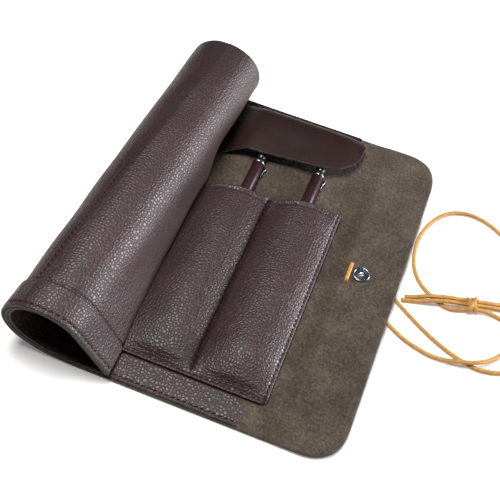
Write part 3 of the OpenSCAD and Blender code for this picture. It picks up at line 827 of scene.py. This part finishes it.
def pocket_height(x, y):
    """Height of the pocket's outer face: flat at the seams, crowned over each pen, closed at its lower end.

    Each crown is a power of a sine across its slot, skewed towards its pen, and eases up from the lower
    seam. The divider's sewing pulls it down and puckers it once for each stitch. Beads stand along the
    turned edges, and the seams come up a little at the mouth."""
    slot = POCKET_X1
    flat = HIDE_T + THIN_T + 0.2
    share = np.clip(np.where(x > 0, (x / slot), (x + slot) / slot), 0, 1)
    share = np.where(x > 0, share**1.08, share**1.2)
    crown = np.where(x > -slot, np.sin(np.pi * share), 0) ** 0.8
    lower = ease((y - POCKET_Y0 - 1.5) / 24) ** 0.7
    height = (CROWN_TOP - 0.3 - flat) * crown * (0.2 + 0.8 * lower) * ease((y - POCKET_Y0 - 1) / 7)
    wave = 2 * np.pi / sizes().stitch_pitch
    sewn = ease((y - POCKET_Y0 - 2) / 4)
    pucker = 0.45 * np.sin(y * wave + 0.9 * x) * bell(np.abs(x), 2.6) * sewn
    dent = 0.6 * bell(x, 1.0) * sewn
    side = 0.45 * bell(x - POCKET_X1 + 1.9, 0.7)
    foot = 0.45 * bell(y - POCKET_Y0 - 2.3, 0.8)
    bead = 0.35 * bell(x - POCKET_X1 + 0.9, 0.7) + 0.4 * bell(y - POCKET_Y0 - 1, 0.8)
    hem = 0.45 * bell(y - POCKET_Y1 + 1, 0.8) - 0.3 * bell(y - POCKET_Y1 + 2.8, 0.9)
    near_mouth = ease((y - POCKET_Y1 + 14) / 14)
    lifted = (1.6 * bell(x, 4) + 2.0 * bell(x - POCKET_X1, 5)) * near_mouth
    soft = 0.45 * ripple(x, y, 34, 21) * ease(height / 5)
    return flat + height + pucker - dent - side - foot + bead + hem + lifted + soft


def pocket_place(x, y):
    """The pocket's sheet turned askew at its mouth, with a small round corner at its lower right."""
    slant = (0.12 * np.maximum(x, -38) - 1.5) * ease((x - FOLD_X) / 16) * ease((y - POCKET_Y1 + 45) / 45)
    radius = 3.6
    share = np.clip((x - POCKET_X1 + radius) / radius, 0, 1)
    corner = radius * (1 - np.sqrt(1 - share**2)) * np.exp(-(y - POCKET_Y0) / 6)
    return y + slant + corner


class PENROLL_OT_pocket(bpy.types.Operator):
    """Makes the pocket leather and the strip along the lower edge."""

    bl_idname = "pen_roll.pocket"
    bl_label = "Pocket and strip"

    def execute(self, context):
        self.pocket()
        self.strip()
        for k in range(3):
            piece = roll_sheet(f"pocket_roll_{k + 1}", k, POCKET_Y0, POCKET_Y1, HIDE_T + 0.1, THIN_T - 0.1,
                skins("pocket", "pocket", "thin_edge"), last_u=SEAM_U)
            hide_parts(*(["pocket_fold_%d" % (k + 1)] + (["pocket_slot_3"] if k == 0 else [])))
        for k in range(len(STRETCHES)):
            piece = roll_sheet(f"strip_roll_{k + 1}", k, STRIP_Y0, STRIP_Y1, HIDE_T + 0.1, THIN_T - 0.1,
                skins("pocket", "pocket", "thin_edge"))
            if k:
                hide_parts(f"strip_fold_{k}")
        return {"FINISHED"}

    def pocket(self):
        x = with_detail(spaced(FOLD_X, POCKET_X1, 1.2, False, True), [0, POCKET_X1 - 1.6], 3, 0.3)
        y = spaced(POCKET_Y0, POCKET_Y1, 0.75)
        gx, gy = np.meshgrid(x, y, indexing="ij")
        top = pocket_height(gx, gy)
        placed = pocket_place(gx, gy)
        dx, dy = np.gradient(top, axis=0) / np.gradient(x)[:, None], np.gradient(top,
            axis=1) / np.gradient(y)[None, :]
        dx, dy = np.clip(dx, -1.2, 1.2), np.clip(dy, -1.2, 1.2)
        normal = unit(np.stack([-dx, -dy, np.ones_like(top)], -1))
        sink = edge_sink(0.55, POCKET_X1 - gx, gy - POCKET_Y0, POCKET_Y1 - gy)
        face = np.stack([gx, placed, top], -1) - sink[..., None] * normal
        back = np.stack([gx, placed, top], -1) - (THIN_T + 0.05 - sink)[..., None] * normal
        back[..., 2] = np.maximum(back[..., 2], ON_HIDE)
        piece = shell("pocket_front", face, back, skins("pocket", "suede", "pocket"))
        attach(piece, "case")
        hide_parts("pocket_slot_1", "pocket_slot_2")

    def strip(self):
        """A flat strip; the reach of each column follows a quarter circle at the upper right corner."""
        radius = 9
        x = np.concatenate([np.linspace(FOLD_X, STRIP_X1 - radius, 60),
            STRIP_X1 - radius + radius * np.sin(np.linspace(0, np.pi / 2, 24)[1:])])
        share = np.clip((x - STRIP_X1 + radius) / radius, 0, 1)
        upper = STRIP_Y1 - radius + radius * np.sqrt(1 - share**2) - 0.35
        y = np.array([np.concatenate([STRIP_Y0 + NEAR_EDGE, np.linspace(STRIP_Y0 + 1, u - 1, 26)[1:-1],
            u - NEAR_EDGE[::-1]]) for u in upper])
        gx = np.broadcast_to(x[:, None], y.shape)
        right = STRIP_X1 - gx
        sink = edge_sink(0.5, y - STRIP_Y0, upper[:, None] - y, right)
        row = 0.3 * bell(y - EDGE_ROW_Y, 0.8)
        soft = 0.12 * ripple(gx, y, 22, 31)
        top = HIDE_T + THIN_T - sink - row + soft
        bottom = np.minimum(ON_HIDE + sink, top - 0.1)
        piece = shell("strip_front", np.stack([gx, y, top], -1), np.stack([gx, y, bottom], -1),
            skins("pocket", "suede", "thin_edge"))
        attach(piece, "case")
        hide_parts("strip_base")


def flap_profile(share):
    """y and z of the flap's top from its sewn edge (0) to its free edge (1): flat, a sharp rise, then level."""
    points = [[BAND_Y1, 3.5], [97.6, 3.6], [96.0, 3.8], [94.9, 5.4], [93.4, 7.9], [90.8, 9.7], [86.5, 10.7],
        [80, 11.1], [73, 11.1], [66, 11.0], [60, 10.8]]
    line = smooth_line([[0, y, z] for y, z in points], 0.5)
    place = run(line)
    at = share * place[-1]
    return np.interp(at, place, line[:, 1]), np.interp(at, place, line[:, 2])


# Where the flap's free edge lies, from under the rolled end to its round right end.
FLAP_EDGE = [[-55, 60], [-47, 56], [-40, 54], [-36, 54.8], [-26, 57.4], [-15, 58.4], [1.8, 60.6], [15.8, 61.8],
    [24, 63.2], [29, 65.2], [32.6, 68.2], [35.6, 72], [37.8, 76.4], [39.4, 82]]
FLAP_CUT = -33.4


def flap_surface(x, share):
    """Points of the flap's top: x across it, share from the sewn edge to the free edge.

    The free edge follows FLAP_EDGE, the right end draws in towards the seam, and both ends sink."""
    edge = smooth_line([[a, b, 0] for a, b in FLAP_EDGE], 0.5)
    free = np.interp(x, edge[:, 0], edge[:, 1])[:, None]
    y0, z0 = flap_profile(share)
    gx = np.broadcast_to(x[:, None], (len(x), len(share)))
    y = np.where(y0 < 90, 90 - (90 - y0) * (90 - free) / 30, y0)
    draw_in = 4.6 * (1 - ease(share[None, :] / 0.4)) * ease((gx - 12) / 28)
    down = ease((-22 - gx) / 20) + 0.34 * ease((gx - 26) / 15) ** 1.3
    sag = 0.7 * bell(gx - 3, 7) * ease((share[None, :] - 0.35) / 0.5)
    risen = np.clip((z0[None, :] - 3.6) / 7, 0, 1)
    z = z0[None, :] - (z0[None, :] - 3.5) * down - (sag - 0.25 * ripple(gx, y, 30, 41)) * risen * (1 - down)
    teeth = 0.28 * ripple(gx, 0 * gx, 4.5, 43) * ease((share[None, :] - 0.97) / 0.03)
    return np.stack([gx - draw_in, y + teeth, z], -1)


class PENROLL_OT_flap(bpy.types.Operator):
    """Makes the smooth flap that lies over the pens' ends, and its part under the rolled end."""

    bl_idname = "pen_roll.flap"
    bl_label = "Top flap"

    def execute(self, context):
        ends = {"flap_front": (FLAP_CUT, FLAP_EDGE[-1][0]), "flap_under_roll": (FOLD_X, FLAP_CUT)}
        for name, (x0, x1) in ends.items():
            self.sheet(name, x0, x1)
        for k in range(3):
            piece = roll_sheet(f"flap_roll_{k + 1}", k, 60, BAND_Y1, HIDE_T + 0.1, THIN_T - 0.1,
                skins("flap", "flap", "flap_edge"), last_u=SEAM_U)
            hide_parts(f"flap_fold_{k + 1}")
        return {"FINISHED"}

    def sheet(self, name, x0, x1):
        front = name == "flap_front"
        x = spaced(x0, x1, 1.3, False, front)
        share = spaced(0, 50, 0.8) / 50
        face = flap_surface(x, share)
        normal = unit(np.cross(np.gradient(face, axis=1), np.gradient(face, axis=0)))
        normal *= np.sign(normal[..., 2:].mean())
        gx = face[..., 0]
        right = x1 - x[:, None] if front else NO_EDGE + 0 * gx
        sink = edge_sink(0.5, right, share[None, :] * 50, (1 - share[None, :]) * 50)[..., None]
        back = face - (THIN_T - 0.05 - sink) * normal
        back[..., 2] = np.maximum(back[..., 2], ON_HIDE)
        piece = shell(name, face - sink * normal, back, skins("flap", "flap", "flap_edge"))
        if front:
            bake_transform(piece)
            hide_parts("top_flap")
        else:
            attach(piece, "case")
            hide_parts("flap_band")


class PENROLL_OT_stitching(bpy.types.Operator):
    """Sews the strip, the pocket, the dividers, the flap and the rolled end."""

    bl_idname = "pen_roll.stitching"
    bl_label = "Stitching"

    def execute(self, context):
        up = np.array([[0, 0, 1.0], [0, 0, 1.0]])
        top = HIDE_T + THIN_T
        rows = {
            "thread_strip": [[FOLD_X + 1, EDGE_ROW_Y, top - 0.15], [STRIP_X1 - 2, EDGE_ROW_Y, top - 0.15]],
            "thread_flap": [[-32, 97.6, top + 0.1], [39, 97.6, top + 0.1]],
        }
        for name, line in rows.items():
            piece = stitches(f"{name}_row", np.array(line), up)
            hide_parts(name)
            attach(piece, "case")
        y = np.linspace(POCKET_Y0 + 3, POCKET_Y1 - 1, 200)
        x = np.linspace(FOLD_X + 1, POCKET_X1 - 3, 200)
        self.on_pocket("thread_pocket_side", np.full_like(y, POCKET_X1 - SIDE_ROW), y)
        self.on_pocket("thread_divider_1", np.zeros_like(y), y)
        self.on_pocket("thread_divider_2", np.full_like(y, -POCKET_X1), y)
        self.on_pocket("thread_pocket_bottom", x, np.full_like(x, POCKET_Y0 + FOOT_ROW))
        self.on_roll()
        return {"FINISHED"}

    def on_pocket(self, name, x, y):
        line = np.stack([x, pocket_place(x, y), pocket_height(x, y) + 0.08], -1)
        piece = stitches(f"{name}_row", line, np.broadcast_to([0, 0, 1.0], line.shape).copy())
        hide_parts(name)
        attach(piece, "case")

    def on_roll(self):
        for k in range(1, len(STRETCHES)):
            end = stretch_end(k) or float(roll_length(np.array([EDGE_ROW_Y]))[0]) - 2
            u = np.arange(STRETCHES[k][0], end + 0.1, 0.5)
            y = np.array([EDGE_ROW_Y])
            relief = roll_relief(u[:, None], y[None, :])
            line = rolled(u, y, -relief - 0.1)[:, 0]
            normals = line - rolled(u, y, 2.0)[:, 0]
            piece = stitches(f"thread_roll_edge_{k + 1}", line, normals, seed=k)
            bend_with(piece, k)
            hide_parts(f"thread_fold_{k}")
        y = np.linspace(POCKET_Y0 + 1, POCKET_Y1 - 1, 240)
        u = np.array([SEAM_ROW_U])
        relief = roll_relief(u[:, None], y[None, :])
        line = rolled(u, y, -relief - 0.02)[0]
        piece = stitches("thread_roll_seam", line, line - rolled(u, y, 2.0)[0], seed=9)
        bend_with(piece, 2)


class PENROLL_OT_button(bpy.types.Operator):
    """Makes the button: the flange with its dish, and the tube's split and rolled end."""

    bl_idname = "pen_roll.button"
    bl_label = "Button"

    def execute(self, context):
        place = [BUTTON_C[0], BUTTON_C[1], BUTTON_Z]
        r = BUTTON_R
        rim = [[r, 0], [r + 0.05, 0.35], [r - 0.1, 0.8], [r - 0.4, 1.05], [r - 0.75, 1.05], [r - 1.0, 0.85],
            [r - 1.25, 0.45], [r - 1.3, 0.0]]
        dish = [[r - 1.2, 0.5], [r - 1.7, 0.32], [r - 2.3, 0.3], [1.7, 0.45], [0, 0.5], [0, 0], [r - 1.2, 0]]
        pieces = [lathe("button_rim", rim, place, (0, 0, 1), "steel"), lathe("button_dish", dish, place,
            (0, 0, 1), "dish")]
        for piece in pieces:
            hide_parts("button_flange")
        # The tube's end is split into six and rolled outwards: its radius swells and dips six times round.
        rings = np.linspace(0, 1, 12)
        turn = np.arange(48) * 2 * np.pi / 48
        bump = 0.5 + 0.5 * np.cos(6 * turn)
        profile_r = 0.45 + 1.15 * np.sin(rings * np.pi / 2)
        profile_z = 0.55 + 0.62 * np.sin(rings * np.pi) ** 0.8
        spread = 1 - 0.34 * (1 - bump)[None, :] * ease((profile_r[:, None] - 0.5) / 0.9)
        radius = profile_r[:, None] * spread
        points = np.stack([place[0] + radius * np.cos(turn), place[1] + radius * np.sin(turn),
            place[2] + np.broadcast_to(profile_z[:, None], radius.shape)], -1)
        post = put_mesh("button_tube_end", points, grid_faces(12, 48, wrap=True), [MATERIALS["bright"]])
        weld(post)
        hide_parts("button_post")
        for piece in [*pieces, post]:
            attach(piece, "closing_end")
        paint("button_head", "steel")
        return {"FINISHED"}


def paint(name, material):
    """Gives a CAD node a material."""
    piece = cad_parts[name]
    piece.data.materials.clear()
    piece.data.materials.append(MATERIALS[material])


class PENROLL_OT_pens(bpy.types.Operator):
    """Finishes the pens: cap, ring with its lug, rounded top and barrel; the inner parts keep their shape."""

    bl_idname = "pen_roll.pens"
    bl_label = "Pens"

    def execute(self, context):
        for side in ("right", "left"):
            self.cap(side)
            for part, material, slot in (("barrel", "resin", "burgundy_resin"), ("section", "black",
                "black_resin"),
                    ("nib", "gold", "gilt_nib"), ("feed", "black", "black_resin"), ("cartridge", "ink",
                    "ink_cartridge")):
                paint(f"pen_{side}_{part}", material)
        return {"FINISHED"}

    def cap(self, side):
        body = f"pen_{side}"
        low, high = box_mm(f"pen_{side}_cap")
        x, z = (low[0] + high[0]) / 2, (low[2] + high[2]) / 2
        r, y0, y1 = (high[0] - low[0]) / 2 + 0.15, low[1], high[1]
        axis, place = (0, 1, 0), [x, 0, z]
        cap = [[r - 0.7, y0], [r - 0.15, y0], [r, y0 + 0.3], [r, y0 + 0.9], [r - 0.12, y0 + 1.1], [r,
            y0 + 1.4],
            [r, 20], [r - 0.05, 40], [r - 0.15, y1 - 0.6], [r - 0.4, y1], [0, y1], [0, y1 - 2], [r - 0.7,
            y1 - 3]]
        ring = [[r - 0.7, y1], [r, y1], [r + 0.25, y1 + 0.3], [r + 0.25, y1 + 1.0], [r, y1 + 1.35],
            [r - 0.7, y1 + 1.35]]
        low, high = box_mm(f"pen_{side}_finial")
        a, b = low[1], high[1]
        top = [[0, a], [r - 0.4, a], [r - 0.3, a + 0.3], [r - 0.3, a + 1.4], [r - 1.1, a + 2], [r - 1.1,
            a + 3],
            [r - 0.6, a + 3.6], [r - 0.6, a + 4.6], [r - 0.9, a + 6.2], [r - 1.6, a + 7.6], [1.0, b - 0.3],
            [0, b]]
        # A near-white stud on the top's tip: a painted highlight.
        stud = [[0, b - 0.35], [1.0, b - 0.3], [1.15, b - 0.05], [0.9, b + 0.12], [0, b + 0.2]]
        turned = [("cap_turned", cap, "resin", 48, "cap", "burgundy_resin"), ("ring", ring, "chrome", 48,
            "clip", "chrome_trim"),
            ("top", top, "black", 48, "finial", "black_resin"), ("top_highlight_stud", stud, "bright", 24, "finial",
            "chrome_trim")]
        pieces = [(lathe(f"{body}_{name}", profile, place, axis, material, sides), part, slot)
            for name, profile, material, sides, part, slot in turned]
        pieces.append((self.clip(body, x, z, r, y1), "clip", "chrome_trim"))
        for piece, part, slot in pieces:
            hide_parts(f"pen_{side}_{part}")
            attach(piece, body)

    def clip(self, body, x, z, r, y1):
        """A flat strip carried out of the ring, over a round shoulder and down along the cap to its ball."""
        turn = math.radians(-26)
        out = np.array([math.cos(turn), 0, math.sin(turn)])
        route = [[r - 0.4, 0.7], [r + 1.0, 0.75], [r + 1.7, 0.4], [r + 1.6, -0.6], [r + 1.1, -1.6],
            [r + 0.8, -3.4],
            [r + 0.6, -5.6], [r + 0.65, -6.6]]
        line = smooth_line([[x + d * out[0], y1 + y, z + d * out[2]] for d, y in route], 0.5)
        share = np.linspace(0, 1, len(line))
        width = 1.25 - 0.5 * share + 0.35 * bell(share - 0.97, 0.05)
        turns = np.arange(12) * np.pi / 6
        section = np.stack([np.cos(turns), np.sin(turns)], -1)
        side = np.array([-out[2], 0, out[0]])
        rise = np.cross(unit(np.gradient(line, axis=0)), side)
        rings = (line[:, None, :] + (section[None, :, 0] * width[:, None])[..., None] * side
            + (section[None, :, 1] * 0.42)[..., None] * rise[:, None, :])
        return tube(f"{body}_clip_bent", rings, MATERIALS["chrome"])


class PENROLL_OT_stage(bpy.types.Operator):
    """Sets the camera, the pale floor and the soft lights."""

    bl_idname = "pen_roll.stage"
    bl_label = "Stage"

    def execute(self, context):
        scene = context.scene
        camera = bpy.data.cameras.new("camera")
        camera.lens, camera.sensor_width = 64.55, 36
        camera.clip_start, camera.clip_end = 0.02, 20
        seen = bpy.data.objects.new("camera", camera)
        right = np.array([0.93139, 0.35389, 0.08532])
        up = np.array([-0.34000, 0.76195, 0.55121])
        back = np.cross(right, up)
        turn = Matrix([[right[i], up[i], back[i]] for i in range(3)]).to_4x4()
        seen.matrix_world = Matrix.Translation((0.0645, -0.2644, 0.4043)) @ turn
        scene.collection.objects.link(seen)
        scene.camera = seen
        self.floor()
        self.light(scene, "overhead_softbox", (-0.18, 0.0, 1.1), (0, 0, 0.02), (0.42, 0.42), 9.5, (1, 0.99,
            0.98))
        self.light(scene, "near_softbox", (-0.1, 0.02, 0.5), (-0.03, -0.08, 0), (0.2, 0.16), 1.2, (1, 0.98,
            0.99))
        self.light(scene, "low_window", (1.0, 0.42, 0.22), (0, 0, 0.02), (0.4, 0.4), 21, (0.93, 0.94, 1))
        world = bpy.data.worlds.new("soft_room")
        world.use_nodes = True
        world.node_tree.nodes["Background"].inputs["Color"].default_value = (1, 1, 1, 1)
        world.node_tree.nodes["Background"].inputs["Strength"].default_value = 0.03
        scene.world = world
        scene.view_settings.view_transform = "Standard"
        return {"FINISHED"}

    def floor(self):
        size = 3000
        points = [[-size, -size, 0], [size, -size, 0], [size, size, 0], [-size, size, 0]]
        material, tree, shader, place = new_material("pale_matt_board", Roughness=0.9, Specular_IOR_Level=0.1)
        noise = node(tree, "ShaderNodeTexNoise", {"Vector": place, "Scale": 0.02, "Detail": 2.0})
        base = ramp(tree, noise.outputs["Fac"], [(0.3, hex_colour("#f8f8f7")), (0.7, hex_colour("#fbfbfa"))])
        tree.links.new(base, shader.inputs["Base Color"])
        shader.inputs["Emission Color"].default_value = (1, 1, 1, 1)
        shader.inputs["Emission Strength"].default_value = 0.18
        floor = put_mesh("floor", points, [[0, 1, 2, 3]], [material])

    def light(self, scene, name, place, target, size, power, colour):
        data = bpy.data.lights.new(name, "AREA")
        data.color = colour
        data.shape, data.size, data.size_y, data.energy = "RECTANGLE", *size, power
        lamp = bpy.data.objects.new(name, data)
        aim = Matrix.Translation(place).to_translation() - Matrix.Translation(target).to_translation()
        lamp.matrix_world = Matrix.Translation(place) @ aim.to_track_quat("Z", "Y").to_matrix().to_4x4()
        scene.collection.objects.link(lamp)


class PENROLL_PT_panel(bpy.types.Panel):
    """Lists the steps that build the pen roll."""

    bl_label = "Pen Roll"
    bl_space_type = "VIEW_3D"
    bl_region_type = "UI"
    bl_category = "Pen Roll"

    def draw(self, context):
        for group in (context.scene.pen_roll_sizes, context.scene.pen_roll_colours):
            for name in group.__annotations__:
                self.layout.prop(group, name)
        for step in STEPS:
            self.layout.operator(step.bl_idname)


STEPS = [PENROLL_OT_stage, PENROLL_OT_lace, PENROLL_OT_hide, PENROLL_OT_pocket, PENROLL_OT_flap,
    PENROLL_OT_stitching, PENROLL_OT_button, PENROLL_OT_pens]
CLASSES = [PenRollSizes, PenRollColours, *STEPS, PENROLL_PT_panel]


def register():
    for cls in CLASSES:
        bpy.utils.register_class(cls)
    bpy.types.Scene.pen_roll_sizes = bpy.props.PointerProperty(type=PenRollSizes)
    bpy.types.Scene.pen_roll_colours = bpy.props.PointerProperty(type=PenRollColours)


def unregister():
    del bpy.types.Scene.pen_roll_sizes
    del bpy.types.Scene.pen_roll_colours
    for cls in reversed(CLASSES):
        bpy.utils.unregister_class(cls)


def main():
    register()
    make_materials()
    for step in STEPS:
        group, name = step.bl_idname.split(".")
        getattr(getattr(bpy.ops, group), name)()


if __name__ == "__main__":
    main()
